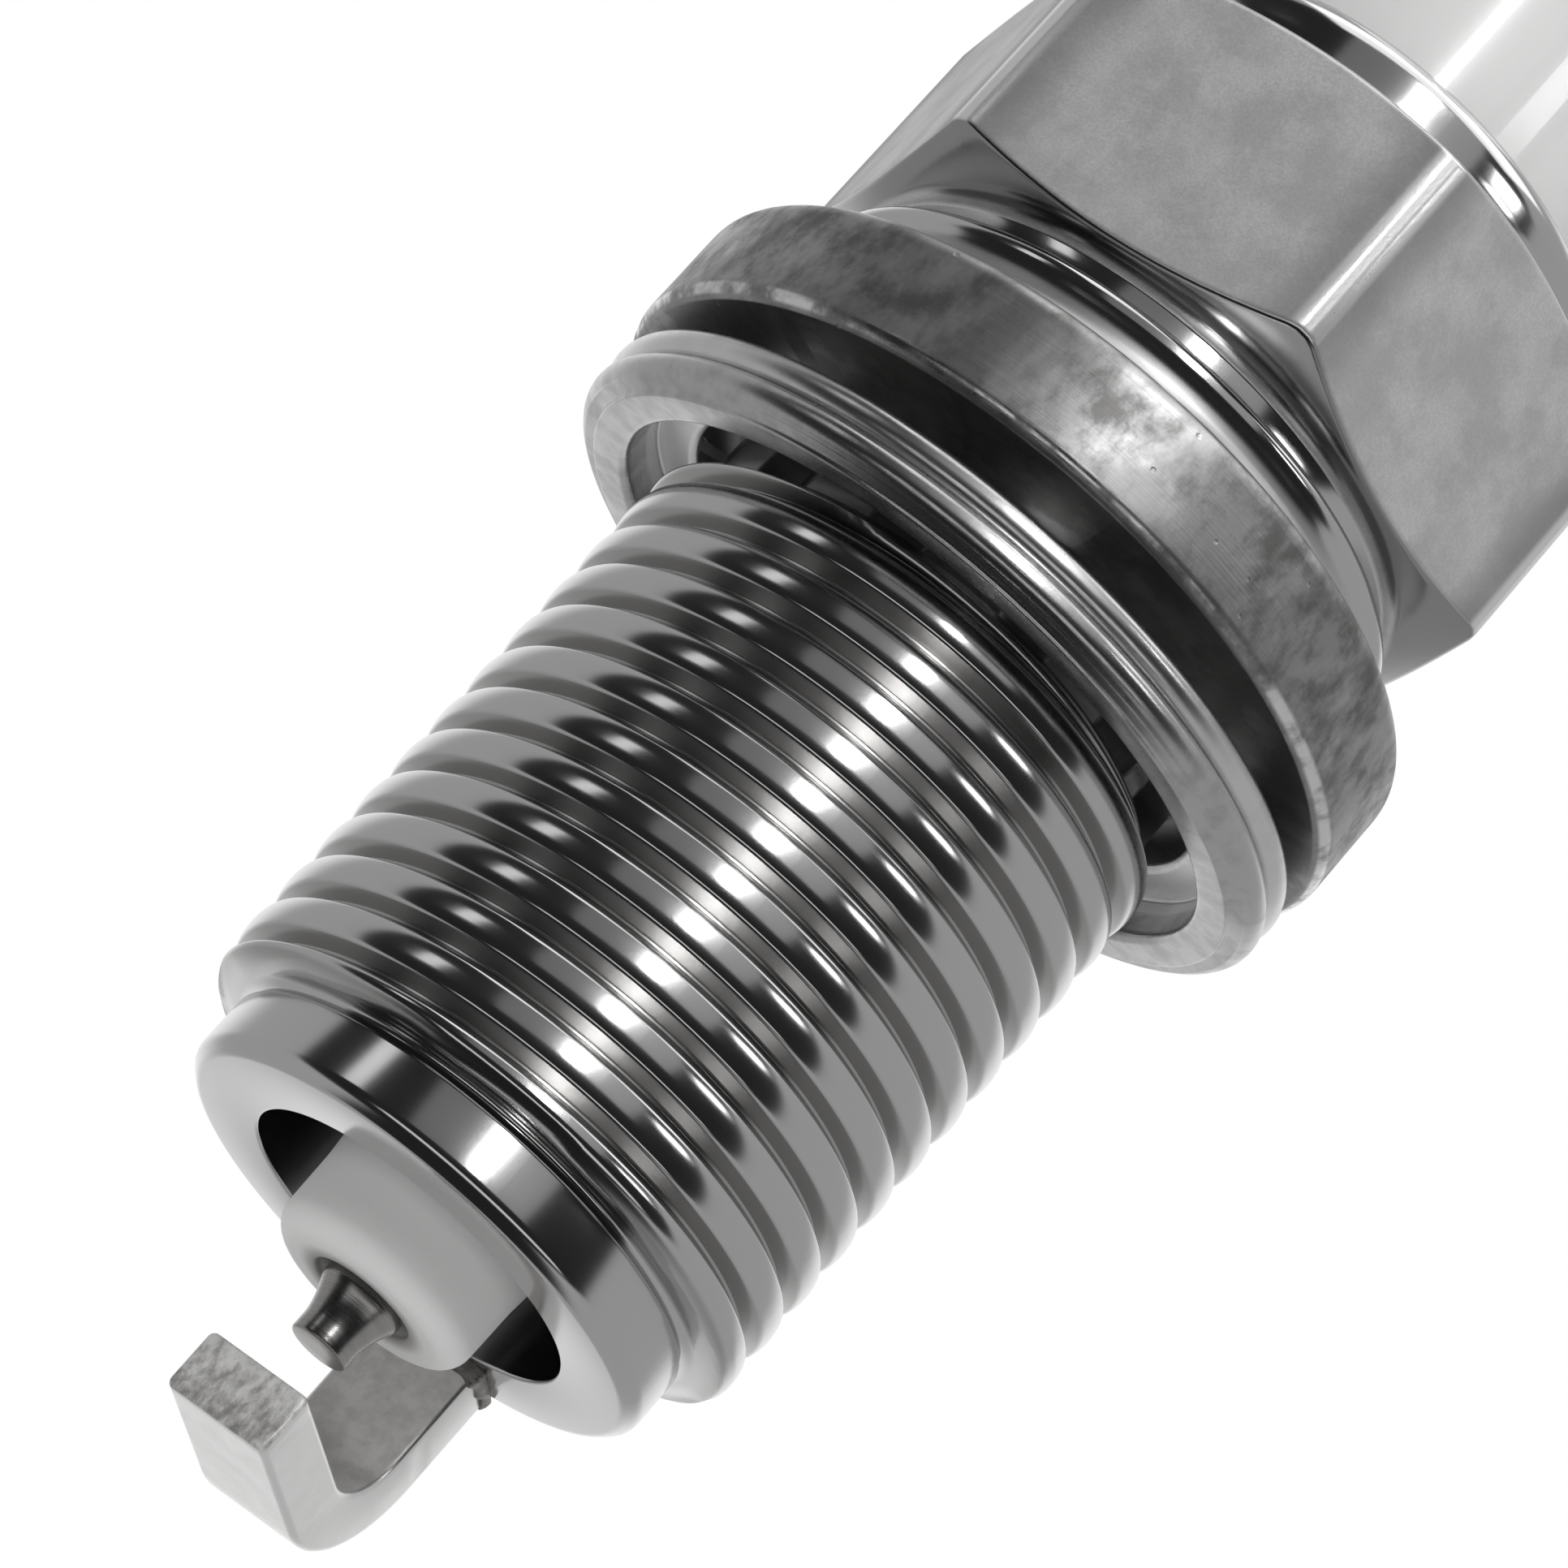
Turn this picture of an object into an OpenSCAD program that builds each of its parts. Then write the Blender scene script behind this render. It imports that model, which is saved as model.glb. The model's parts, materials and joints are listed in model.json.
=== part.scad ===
// Spark plug, M14 x 1.25 with a 16 mm hexagon and a captive crush gasket.
// The axis is Z. The origin is on the axis, in the plane of the collar's sealing seat.
// +Z runs to the terminal, and -Z runs down through the thread to the spark gap.

/* [Shell] */
// Outside diameter of the thread that screws into the cylinder head
thread_d = 14; // [13:0.1:17]
// Pitch of that thread
thread_pitch = 1.25; // [1:0.05:1.5]
// Reach, from the seat down to the shell's end face
reach = 19; // [16:0.1:26.5]
// Distance across the flats of the hexagon
hex_af = 16; // [15.5:0.1:20.8]
// Height of the hexagon
hex_h = 6.8; // [5.5:0.1:9]
// Turn of the hexagon about the axis
hex_turn = 1.5; // [0:0.5:60]
// How far the collar stands out past the thread on each side
collar_out = 2.65; // [2.3:0.05:3.5]
// Height of the collar's wall
collar_h = 3; // [2.4:0.1:4]
// Height of the grooved neck between collar and hexagon
neck_h = 2.5; // [2.3:0.1:4]
// Length of the plain nose below the thread
nose_h = 1.7; // [1.2:0.1:3]
// Height of the crimped lip above the hexagon
crimp_h = 1.9; // [1.6:0.1:2.5]

/* [Insulator] */
// Diameter of the ceramic above the shell
barrel_d = 10.3; // [9.8:0.1:10.6]
// Height of the ceramic's top above the seat
ceramic_top = 41.5; // [38:0.5:50]
// Number of ribs on the upper ceramic
rib_count = 5; // [3:1:6]
// Depth of the grooves between the ribs
rib_depth = 0.7; // [0.4:0.05:0.9]
// Diameter of the ceramic nose at its tip
tip_d = 5; // [4.4:0.1:6]
// How far the ceramic nose stands out of the shell's end face
tip_out = 1.5; // [0:0.1:2.5]

/* [Electrodes] */
// Diameter of the centre electrode inside the ceramic
electrode_d = 2.4; // [2:0.1:2.8]
// Diameter of the centre electrode's fine end
fine_d = 1.43; // [1:0.01:1.7]
// How far the centre electrode reaches past the shell's end face
electrode_out = 2.9; // [2.7:0.05:4]
// Spark gap
gap = 1.4; // [0.6:0.05:1.6]
// Width of the earth strap
strap_w = 2.65; // [2.2:0.05:3.2]
// Thickness of the earth strap
strap_t = 1.5; // [1.1:0.1:1.8]
// Inside radius of the strap's bend
strap_bend = 1.7; // [1.2:0.1:2]
// How far the strap reaches past the plug's axis
strap_past = 1.7; // [0.7:0.1:2]

/* [Gasket] */
// Height of the folded crush gasket
gasket_h = 1.6; // [1.4:0.1:2]
// How far the low side of the loose gasket hangs below the collar
gasket_drop = 1.1; // [0.6:0.1:1.4]
// Direction of that low side, as an angle about the axis
gasket_lean = -67; // [-180:1:180]

/* [Terminal] */
// Diameter of the terminal nut
nut_d = 6.35; // [6:0.05:6.8]
// Height of the terminal nut
nut_h = 8.2; // [7:0.1:10]
// Thread diameter of the terminal stud
stud_d = 4; // [3.5:0.1:4.2]

/* [Hidden] */
$fn = 96;

// Clearances and small shared sizes
slip = 0.05;          // running clearance on a radius
chamfer = 0.3;
flank = tan(30);      // half angle of an ISO thread
eps = 0.01;

// Shell, outside
thread_r = thread_d / 2;
root_r = thread_r - 0.56 * thread_pitch;
relief_r = root_r - 0.1;
collar_r = thread_r + collar_out;
nose_r = thread_r - 0.95;
thread_top = -(gasket_h + gasket_drop + 0.1);
face_z = -reach;
nose_z = face_z + nose_h;
runout_h = 0.35;
thread_end = nose_z + runout_h;
hex_z = collar_h + neck_h;
hex_top = hex_z + hex_h;
shell_top = hex_top + crimp_h;
hex_corner_r = hex_af / 2 / cos(30);
crimp_r = hex_af / 2 - 1.15;
hex_foot_r = hex_af / 2 - 0.35;
hex_cut_h = 0.75;
bead_r = hex_af / 2 - 0.1;
neck_r = hex_af / 2 - 0.75;

// Shell, inside
mouth_r = nose_r - 1.95;
body_r = thread_r - 2.2;
upper_r = hex_af / 2 - 2;
ledge_z = -5.7;
ledge_h = 0.6;
step_z = 4.2;
step_h = 1;

// Ceramic
barrel_r = barrel_d / 2;
flange_top = hex_top - 2;
ring_r = (upper_r - barrel_r) / 2 - 0.01;
ring_mid_r = (upper_r + barrel_r) / 2;
talc_z = flange_top + 2 * ring_r;
lip_under = shell_top - 0.9;
talc_top = lip_under - 2 * ring_r;
packing_t = 0.3;
ceramic_r = body_r - slip;
ceramic_ledge = ledge_z + packing_t;
nose_root_r = mouth_r - 0.6;
tip_z = face_z - tip_out;
rib_pitch = 2.6;
rib_top = ceramic_top - 6.5;
channel_r = 2.3;
channel_z = -2.6;

// Electrodes
electrode_r = electrode_d / 2;
fine_r = fine_d / 2;
electrode_z = face_z - electrode_out;
head_z = channel_z + 1;
core_r = 0.55 * electrode_r;
strap_in = electrode_z - gap;
strap_out = strap_in - strap_t;
leg_y = (nose_r + mouth_r) / 2 - strap_t / 2;
bend_y = leg_y - strap_bend;
bend_z = strap_in + strap_bend;

// Conducting column in the ceramic
glass_top = 1.5;
resistor_top = 9.5;
stud_z = 10.5;
upper_glass_top = 12.5;
stud_r = stud_d / 2;
shank_r = channel_r - 0.2;
seat_h = 0.8;
nut_z = ceramic_top + seat_h;
stud_top = nut_z + nut_h - 0.9;

// Gasket
gasket_r = collar_r - 0.2;
roll_r = 0.375;
hang_r = gasket_r - roll_r;
hang_angle = asin(gasket_drop / (2 * hang_r));

// Points on an arc of a circle, in the outline plane.
function arc(x, y, r, a0, a1, n = 6) =
  [for (i = [0:n]) let (a = a0 + (a1 - a0) * i / n) [x + r * cos(a), y + r * sin(a)]];

// One groove of an ISO thread, swept along its helix as a closed band.
module thread_groove(major, root, pitch, z0, z1, turn_steps = 24) {
  over = 0.15;
  low = root;
  high = major + over;
  half_low = pitch / 11;
  half_high = half_low + (high - low) * flank;
  turns = (z1 - z0) / pitch;
  steps = ceil(turns * turn_steps);
  section = [[low, -half_low], [high, -half_high], [high, half_high], [low, half_low]];
  points = [
    for (i = [0:steps], p = section)
      let (a = 360 * turns * i / steps)
      [p[0] * cos(a), p[0] * sin(a), z0 + (z1 - z0) * i / steps + p[1]]
  ];
  sides = [
    for (i = [0:steps - 1], k = [0:3])
      let (a = 4 * i + k, b = 4 * i + (k + 1) % 4)
      each [[a, b, a + 4], [b, b + 4, a + 4]]
  ];
  last = 4 * steps;
  polyhedron(points, concat([[3, 2, 1, 0]], sides, [[last, last + 1, last + 2, last + 3]]), convexity = 10);
}

// Turned blank of the shell: crimp lip, neck ridges, collar, thread and nose.
module shell_blank() {
  rotate_extrude()
    polygon(concat(
      [[mouth_r, face_z], [nose_r - chamfer, face_z], [nose_r, face_z + chamfer]],
      [[nose_r, nose_z - 0.1], [nose_r - 0.1, nose_z], [root_r - 0.1, nose_z + eps]],
      [[root_r - 0.1, thread_end - 0.1], [thread_r, thread_end + 0.45]],
      [[thread_r, thread_top - 0.45], [relief_r, thread_top]],
      [[relief_r, 0], [collar_r - chamfer, 0], [collar_r, chamfer]],
      arc(collar_r - 0.5, collar_h - 0.5, 0.5, 0, 75),
      arc(bead_r + 0.7, collar_h + 1.05, 0.9, 265, 182),
      arc(bead_r - 0.35, collar_h + 1.45, 0.35, -40, 90),
      [[neck_r, collar_h + 1.9], [neck_r, hex_z - 0.1], [hex_foot_r - 0.1, hex_z]],
      [[crimp_r, hex_z + 0.2], [crimp_r, hex_top + crimp_h - 1]],
      arc(crimp_r - 0.9, shell_top - 0.9, 0.9, 0, 80),
      [[barrel_r + 0.12, shell_top], [barrel_r + 0.12, lip_under], [upper_r, lip_under]],
      [[upper_r, step_z + step_h], [body_r, step_z], [body_r, ledge_z + ledge_h]],
      [[mouth_r, ledge_z]]
    ));
}

// Hexagon with turned chamfers on both ends, open in the middle.
module hexagon() {
  difference() {
    intersection() {
      translate([0, 0, hex_z])
        rotate([0, 0, hex_turn])
          cylinder(r = hex_corner_r, h = hex_h, $fn = 6);
      rotate_extrude()
        polygon([
          [0, hex_z], [hex_foot_r, hex_z], [hex_corner_r, hex_z + hex_cut_h],
          [hex_corner_r + 1, hex_z + hex_cut_h + 0.5], [hex_corner_r + 1, hex_top - hex_cut_h - 0.5],
          [hex_corner_r, hex_top - hex_cut_h], [hex_foot_r, hex_top], [0, hex_top]
        ]);
    }
    translate([0, 0, hex_z - 1])
      cylinder(r = crimp_r - 0.3, h = hex_h + 2);
  }
}

module shell() {
  color("silver")
    difference() {
      union() {
        shell_blank();
        hexagon();
      }
      thread_groove(thread_r, root_r, thread_pitch, thread_end - 0.3, thread_top + 0.5);
    }
}

// Folded steel washer, lying flat against the collar.
module flat_gasket() {
  lip = 0.15;
  hole_r = thread_r + 0.95;
  grip_r = thread_r - 0.1;
  rotate_extrude()
    union() {
      translate([hang_r, -roll_r])
        circle(r = roll_r, $fn = 32);
      translate([hang_r, roll_r + lip - gasket_h])
        circle(r = roll_r, $fn = 32);
      translate([hole_r, lip - gasket_h])
        square([hang_r - hole_r, gasket_h - lip - 0.05]);
      translate([hole_r, -gasket_h])
        square([hang_r - hole_r - 0.25, lip + eps]);
      translate([grip_r, -0.75])
        square([hole_r - grip_r + eps, 0.6]);
    }
}

// The gasket as it hangs: tipped about its high side, with its low side on the thread.
module gasket() {
  color("gainsboro")
    rotate([0, 0, gasket_lean])
      translate([-hang_r, 0, -roll_r])
        rotate([0, hang_angle, 0])
          translate([hang_r, 0, roll_r])
            flat_gasket();
}

// Earth strap, bent through a right angle from the shell's end face across the gap.
module ground_electrode() {
  outer_bend = strap_bend + strap_t;
  color("darkgray")
    union() {
      translate([-strap_w / 2, leg_y, bend_z])
        cube([strap_w, strap_t, face_z - bend_z]);
      translate([-strap_w / 2, -strap_past, strap_out])
        cube([strap_w, bend_y + strap_past, strap_t]);
      intersection() {
        translate([0, bend_y, bend_z])
          rotate([0, 90, 0])
            difference() {
              cylinder(r = outer_bend, h = strap_w, center = true);
              cylinder(r = strap_bend, h = strap_w + 1, center = true);
            }
        translate([-strap_w, bend_y, strap_out])
          cube([2 * strap_w, outer_bend, outer_bend]);
      }
    }
}

// Upset metal squeezed out round the foot of the strap where it was welded on.
module ground_weld() {
  flash = 0.3;
  foot = 0.55;
  color("dimgray")
    difference() {
      intersection() {
        translate([-strap_w / 2 - flash, leg_y - flash, face_z - foot])
          cube([strap_w + 2 * flash, strap_t + 2 * flash, foot]);
        translate([0, 0, face_z - 1])
          cylinder(r = nose_r, h = 1);
      }
      translate([-strap_w / 2, leg_y, face_z - 1])
        cube([strap_w, strap_t, 2]);
      translate([0, 0, face_z - 1])
        cylinder(r = mouth_r, h = 2);
    }
}

// Ceramic from its nose in the combustion chamber to its ribbed top.
module insulator() {
  rib_bottom = rib_top - rib_count * rib_pitch;
  color("whitesmoke")
    rotate_extrude()
      polygon(concat(
        [[electrode_r, tip_z]],
        arc(tip_d / 2 - 0.6, tip_z + 0.6, 0.6, -90, -4),
        [[nose_root_r, ledge_z - 0.9], [mouth_r - 0.15, ceramic_ledge - 0.1]],
        [[ceramic_r, ceramic_ledge + ledge_h], [ceramic_r, step_z + 0.1]],
        [[upper_r - slip, step_z + step_h + 0.1], [upper_r - slip, flange_top]],
        [[barrel_r, flange_top], [barrel_r, rib_bottom]],
        [
          for (i = [0:rib_count - 1], s = [1:8])
            [barrel_r - rib_depth * (1 - cos(45 * s)) / 2, rib_bottom + (i + s / 8) * rib_pitch]
        ],
        [[barrel_r, rib_top + 1.5], [barrel_r - 0.9, ceramic_top - 0.5]],
        arc(barrel_r - 1.4, ceramic_top - 0.5, 0.5, 10, 90, 4),
        [[channel_r, ceramic_top], [channel_r, channel_z], [electrode_r, channel_z - 0.7]]
      ));
}

// Thin steel washer that seals the ceramic on the shell's inner ledge.
module seat_packing() {
  color("darkgoldenrod")
    rotate_extrude()
      polygon([
        [mouth_r, ledge_z], [body_r, ledge_z + ledge_h],
        [body_r, ledge_z + ledge_h + packing_t], [mouth_r, ledge_z + packing_t]
      ]);
}

module packing_ring(z) {
  color("slategray")
    rotate_extrude()
      translate([ring_mid_r, z])
        circle(r = ring_r, $fn = 32);
}

module lower_packing_ring() {
  packing_ring(flange_top + ring_r);
}

// Pressed talc powder between the two rings.
module talc_packing() {
  color("beige")
    translate([0, 0, talc_z])
      difference() {
        cylinder(r = upper_r, h = talc_top - talc_z);
        translate([0, 0, -1])
          cylinder(r = barrel_r, h = talc_top - talc_z + 2);
      }
}

module upper_packing_ring() {
  packing_ring(lip_under - ring_r);
}

// Nickel centre electrode with a head inside the ceramic and a fine end at the gap.
module centre_electrode() {
  head_r = channel_r - 0.35;
  core_top = head_z - 1;
  core_end = tip_z + 4;
  color("gray")
    rotate_extrude()
      polygon([
        [0, electrode_z], [fine_r - 0.05, electrode_z], [fine_r, electrode_z + 0.05],
        [fine_r, tip_z - 0.75], [electrode_r, tip_z - 0.25], [electrode_r, channel_z - 0.7],
        [head_r, channel_z - 0.7 + (head_r - electrode_r) * 0.64], [head_r, head_z],
        [core_r, head_z], [core_r, core_end], [0, core_end - core_r]
      ]);
}

module centre_electrode_core() {
  color("peru")
    rotate_extrude()
      polygon([[0, tip_z + 4 - core_r], [core_r, tip_z + 4], [core_r, head_z], [0, head_z]]);
}

// Conducting glass round the electrode's head.
module lower_glass_seal() {
  head_r = channel_r - 0.35;
  color("dimgray")
    rotate_extrude()
      polygon([
        [0, head_z], [head_r, head_z], [head_r, channel_z - 0.7 + (head_r - electrode_r) * 0.64],
        [channel_r, channel_z], [channel_r, glass_top], [0, glass_top]
      ]);
}

module resistor() {
  color("black")
    translate([0, 0, glass_top])
      cylinder(r = channel_r, h = resistor_top - glass_top);
}

// Conducting glass fused round the grooved foot of the terminal stud.
module upper_glass_seal() {
  color("dimgray")
    difference() {
      translate([0, 0, resistor_top])
        cylinder(r = channel_r, h = upper_glass_top - resistor_top);
      stud_foot();
    }
}

// Foot of the stud, with rings that key it into the glass.
module stud_foot() {
  foot_r = channel_r - 0.5;
  rings = 4;
  rotate_extrude()
    polygon(concat(
      [[0, stud_z], [foot_r - 0.2, stud_z]],
      [
        for (i = [0:rings - 1], side = [0, 1])
          [foot_r - 0.2 * side, stud_z + 0.2 + 0.4 * (i + side / 2)]
      ],
      [[foot_r - 0.2, upper_glass_top], [0, upper_glass_top]]
    ));
}

// Steel stud from the glass seal up to the M4 thread that carries the nut.
module terminal_stud() {
  rings = 10;
  ring_pitch = 0.7;
  thread_z = nut_z + 0.4;
  color("lightsteelblue")
    union() {
      stud_foot();
      rotate_extrude()
        polygon(concat(
          [[0, upper_glass_top], [shank_r, upper_glass_top], [shank_r, ceramic_top]],
          [[nut_d / 2 - 0.1, ceramic_top], [nut_d / 2 - 0.1, nut_z], [stud_r - 0.4, nut_z]],
          [
            for (i = [0:rings - 1])
              each [
                [stud_r - 0.4, thread_z + i * ring_pitch],
                [stud_r, thread_z + (i + 0.45) * ring_pitch],
                [stud_r, thread_z + (i + 0.55) * ring_pitch]
              ]
          ],
          [[stud_r - 0.4, stud_top], [0, stud_top]]
        ));
    }
}

// Removable push-on terminal with a waist for the connector's spring.
module terminal_nut() {
  nut_r = nut_d / 2;
  nut_top = nut_z + nut_h;
  waist = 0.45;
  color("lightgray")
    difference() {
      rotate_extrude()
        polygon(concat(
          [[0, nut_z], [nut_r - 0.2, nut_z], [nut_r, nut_z + 0.2], [nut_r, nut_z + 2.2]],
          [
            for (s = [1:7])
              [nut_r - waist * (1 - cos(45 * s)) / 2, nut_z + 2.2 + 2.8 * s / 8]
          ],
          [[nut_r, nut_z + 5], [nut_r, nut_top - 0.6]],
          arc(nut_r - 0.6, nut_top - 0.6, 0.6, 15, 90, 4),
          [[0, nut_top]]
        ));
      translate([0, 0, nut_z - 1])
        cylinder(r = stud_r + slip, h = stud_top + 0.3 - nut_z + 1);
    }
}

shell();
gasket();
ground_electrode();
ground_weld();
insulator();
seat_packing();
lower_packing_ring();
talc_packing();
upper_packing_ring();
centre_electrode();
centre_electrode_core();
lower_glass_seal();
resistor();
upper_glass_seal();
terminal_stud();
terminal_nut();
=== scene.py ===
# %% [markdown]
# # A spark plug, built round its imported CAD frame
#
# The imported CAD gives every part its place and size. This script adds what the CAD leaves
# out: rolled threads, rounded edges, plating, glaze and wear. All lengths below are written
# in millimetres, and `MM` turns them into metres where a mesh, a lamp or the camera is made,
# because Blender works in metres. The axis of the plug is Z, and Z = 0 is the seat under the
# collar. Names in capitals are sizes and settings.

# %% Load the frame
import json
import math

import bmesh
import bpy
from mathutils import Matrix, Vector, noise


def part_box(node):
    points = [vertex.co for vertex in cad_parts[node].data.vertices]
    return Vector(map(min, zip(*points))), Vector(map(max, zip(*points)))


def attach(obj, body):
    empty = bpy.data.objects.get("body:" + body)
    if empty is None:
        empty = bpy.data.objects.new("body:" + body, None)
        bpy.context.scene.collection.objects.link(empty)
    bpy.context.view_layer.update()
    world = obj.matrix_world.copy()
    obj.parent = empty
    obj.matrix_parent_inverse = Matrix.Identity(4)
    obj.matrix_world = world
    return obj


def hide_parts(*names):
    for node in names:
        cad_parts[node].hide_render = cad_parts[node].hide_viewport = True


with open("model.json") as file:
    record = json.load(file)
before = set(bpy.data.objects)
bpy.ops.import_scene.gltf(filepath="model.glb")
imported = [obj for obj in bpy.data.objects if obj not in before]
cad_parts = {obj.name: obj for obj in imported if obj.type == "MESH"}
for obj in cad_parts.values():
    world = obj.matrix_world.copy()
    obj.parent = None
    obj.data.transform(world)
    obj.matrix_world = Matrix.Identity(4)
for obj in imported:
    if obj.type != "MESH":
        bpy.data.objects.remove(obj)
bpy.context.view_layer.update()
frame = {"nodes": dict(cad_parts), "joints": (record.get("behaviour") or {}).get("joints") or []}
MM = 0.001
joints = {joint["name"]: joint for joint in frame["joints"]}


def box_mm(node):
    """Lowest and highest corner of a CAD node, in millimetres."""
    low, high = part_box(node)
    return Vector(low) / MM, Vector(high) / MM


shell_low, shell_high = box_mm("shell")
collar_r = min(shell_high.x, shell_high.y)
face_z = shell_low.z
shell_top = shell_high.z
print("nodes", len(frame["nodes"]), "collar radius", round(collar_r, 3), "face", round(face_z, 3))

# %% [markdown]
# ## Outlines and turned parts
#
# Nearly everything on a plug is turned on a lathe, so the natural tool is an outline that is
# swept round the axis. Blender's Screw modifier could do it, but the shell is round in one
# place, hexagonal in another and threaded in a third. So each helper here works on columns:
# one outline for each angle, all with the same number of points, joined by quads. Corners
# are softened in the outline itself, since a real edge always catches a thin line of light.


# %% Outline helpers
def arc(r, z, radius, start, end, steps=6):
    """Points on a circle in the outline plane, as (r, z)."""
    angles = [math.radians(start + (end - start) * i / steps) for i in range(steps + 1)]
    return [(r + radius * math.cos(a), z + radius * math.sin(a)) for a in angles]


MOST_OF_A_SIDE = 0.48


def soften(outline, steps=3):
    """Rounds each inner corner that carries a third number, its rounding length."""
    points, last = [], len(outline) - 1
    for i, corner in enumerate(outline):
        here = Vector(corner[:2])
        if len(corner) < 3 or i in (0, last):
            points.append(tuple(here))
            continue
        back = Vector(outline[i - 1][:2]) - here
        ahead = Vector(outline[i + 1][:2]) - here
        cut = min(corner[2], MOST_OF_A_SIDE * back.length, MOST_OF_A_SIDE * ahead.length)
        start, end = here + back.normalized() * cut, here + ahead.normalized() * cut
        for k in range(steps + 1):
            t = k / steps
            points.append(tuple((1 - t) ** 2 * start + 2 * t * (1 - t) * here + t * t * end))
    return points


print("softened square corner", len(soften([(0, 0), (1, 0, 0.2), (1, 1)])), "points")


# %% Mesh helpers
WELD_GAP, FLAT_FACE_WEIGHT = 0.002, 70


def finish_mesh(name, points, faces, weighted=True):
    """Makes a smooth-shaded object from millimetre points, with doubled points welded."""
    mesh = bpy.data.meshes.new(name)
    mesh.from_pydata([tuple(c * MM for c in p) for p in points], [], faces)
    piece = bpy.data.objects.new(name, mesh)
    bpy.context.collection.objects.link(piece)
    weld_points(mesh)
    mesh.shade_smooth()
    if weighted:
        weighting = piece.modifiers.new("flat faces stay flat", "WEIGHTED_NORMAL")
        weighting.weight = FLAT_FACE_WEIGHT
    print(name, len(mesh.vertices), "points", len(mesh.polygons), "faces")
    return piece


def weld_points(mesh):
    """Joins points closer than the weld gap and turns the faces outward."""
    work = bmesh.new()
    work.from_mesh(mesh)
    bmesh.ops.remove_doubles(work, verts=work.verts, dist=WELD_GAP * MM)
    bmesh.ops.dissolve_degenerate(work, edges=work.edges, dist=WELD_GAP * MM * 0.1)
    bmesh.ops.recalc_face_normals(work, faces=work.faces)
    work.to_mesh(mesh)
    work.free()


def sheet_faces(columns, rows, first=0, around=True, along=False):
    """Quads between neighbouring columns of rows, closed around and along if asked."""
    faces = []
    for i in range(columns if around else columns - 1):
        for j in range(rows if along else rows - 1):
            a, b = first + i * rows, first + (i + 1) % columns * rows
            k = (j + 1) % rows
            faces.append((a + j, b + j, b + k, a + k))
    return faces


def turned(name, outline, columns=192, closed=True):
    """A part turned from one outline; points on the axis become its poles."""
    turns = [math.tau * i / columns for i in range(columns)]
    points = [(r * math.cos(a), r * math.sin(a), z) for a in turns for r, z in outline]
    return finish_mesh(name, points, sheet_faces(columns, len(outline), along=closed))


# %% [markdown]
# ## The rolled thread
#
# The thread is pressed into the steel between rolling dies, so its crests are broad and
# slightly crowned and its grooves are narrow. A twisted stack of rings would show steps.
# Here every column is the same row of points slid up by the lead at that angle, so a crest
# is one clean line that climbs the helix. Points past either end are held at the end ring,
# where the weld in `finish_mesh` closes the surface.

# %% Thread helpers
SPARE_TURNS = 2


def thread_columns(angles, low, high, pitch, form, limit, crest_z):
    """Columns of (r, z) for a right-hand thread with a crest at crest_z where the angle is 0."""
    columns = []
    last_turn = int((high - crest_z) / pitch) + SPARE_TURNS
    for angle in angles:
        column = []
        for turn in range(-SPARE_TURNS, last_turn + 1):
            for dz, r in form:
                z = crest_z + pitch * (turn + angle / math.tau) + dz
                held = min(max(z, low), high)
                column.append((min(r, limit(held)), held))
        columns.append(column)
    return columns


def lead_seam(columns, rows, first, lead_rows):
    """Quads that join the last column to the first one, which lies one lead lower."""
    a, b = first + (columns - 1) * rows, first + lead_rows
    return [(a + j, b + j, b + j + 1, a + j + 1) for j in range(rows - lead_rows - 1)]


def ramp(z, stops):
    """Straight-line interpolation through (z, value) stops in rising z."""
    for (z0, v0), (z1, v1) in zip(stops, stops[1:]):
        if z <= z1:
            return v0 + (v1 - v0) * max(0.0, z - z0) / (z1 - z0)
    return stops[-1][1]


# %% [markdown]
# ## The shell
#
# The steel shell is one cold-formed blank: crimp lip, hexagon, grooved neck with a rolled
# bead, collar, thread and plain nose. It is built as one closed skin. The hexagon's radius
# depends on the angle, and the chamfer at each end is a cone, so where the two meet the
# edge curves up and down round the hexagon, as it does on a real bar turned at both ends.

# %% Shell sizes
THREAD_R, THREAD_PITCH, ROOT_R, RELIEF_R = 7.0, 1.25, 6.54, 6.2
THREAD_TOP, THREAD_END, CREST_Z = -2.0, -17.12, -16.717
COLLAR_CHAMFER, COLLAR_EDGE, COLLAR_WALL = 0.22, 0.24, 1.4
SHOULDER, SHOULDER_Z = 0.5, 2.5
FILLET, FILLET_R, FILLET_Z = 0.9, 8.6, 4.05
BEAD, BEAD_R, BEAD_Z = 0.35, 7.55, 4.45
GROOVE_R, GROOVE_Z, GROOVE_TOP = 7.25, 4.86, 5.4
HEX_FLAT_R, HEX_FOOT_R, HEX_TURN = 8.0, 7.65, 1.5
HEX_Z, HEX_TOP, HEX_CUT = 5.5, 12.3, 0.75
HEX_CORNER_R = HEX_FLAT_R / math.cos(math.radians(30))
HEX_ROUND, HEX_ROUND_ANGLE = 0.13, 2.3
LIP_R, LIP_ROUND, LIP_FOOT, LIP_WALL = 6.85, 0.9, 12.4, 13.0
CHAMBER_R, CHAMBER_TOP, CHAMBER_FOOT = 6.0, 13.3, 5.2
BORE_R, BORE_TOP, BORE_FOOT = 4.8, 4.2, -5.1
MOUTH_R, MOUTH_TOP, MOUTH_MIDDLE = 4.1, -5.7, -12
NOSE_R, NOSE_TOP, NOSE_MIDDLE = 6.05, -17.42, -18.2
UNDERCUT_R, UNDERCUT_Z = 5.9, -17.32
BARREL_R, BARREL_GAP = 5.15, 0.12
print("hexagon", 2 * HEX_FLAT_R, "across flats", round(2 * HEX_CORNER_R, 2), "across corners")

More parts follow.
